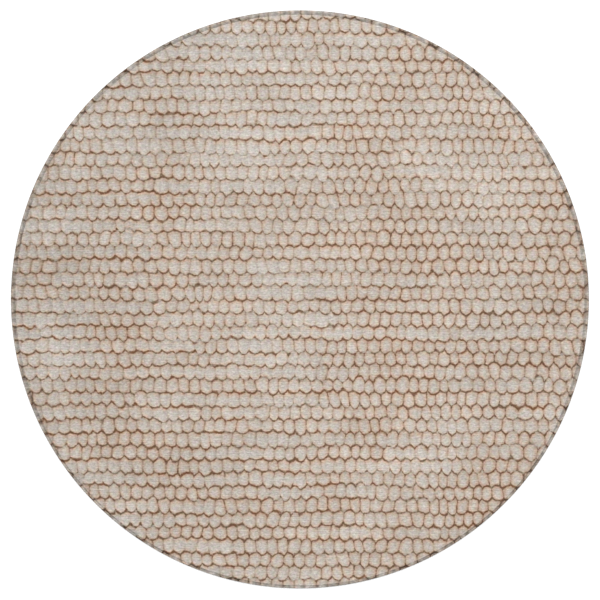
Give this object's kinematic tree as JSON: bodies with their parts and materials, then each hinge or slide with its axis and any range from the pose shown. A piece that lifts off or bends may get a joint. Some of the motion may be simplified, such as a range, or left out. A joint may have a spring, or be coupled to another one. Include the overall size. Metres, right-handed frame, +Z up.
{
  "type": "round polyester rug",
  "caption": "Flat round rug of woven polyester with a short pile, printed all over with rows of rounded loops in beige, its rim bound with wrapped thread.",
  "frame": {"origin": "centre of the rug on its underside, where it rests on the floor", "axes": "+Z up out of the printed face, +X along the rows of the print, +Y across them"},
  "size_m": [1.219, 1.219, 0.006],
  "materials": {
    "printed_cloth": "matte woven polyester pile, beige, printed with rows of rounded loops and brown gaps",
    "edge_thread": "matte polyester thread, grey beige, wrapped closely over the rim"
  },
  "bodies": {
    "root": {"rug_cloth": "printed_cloth", "serged_edge": "edge_thread"}
  },
  "joints": []
}
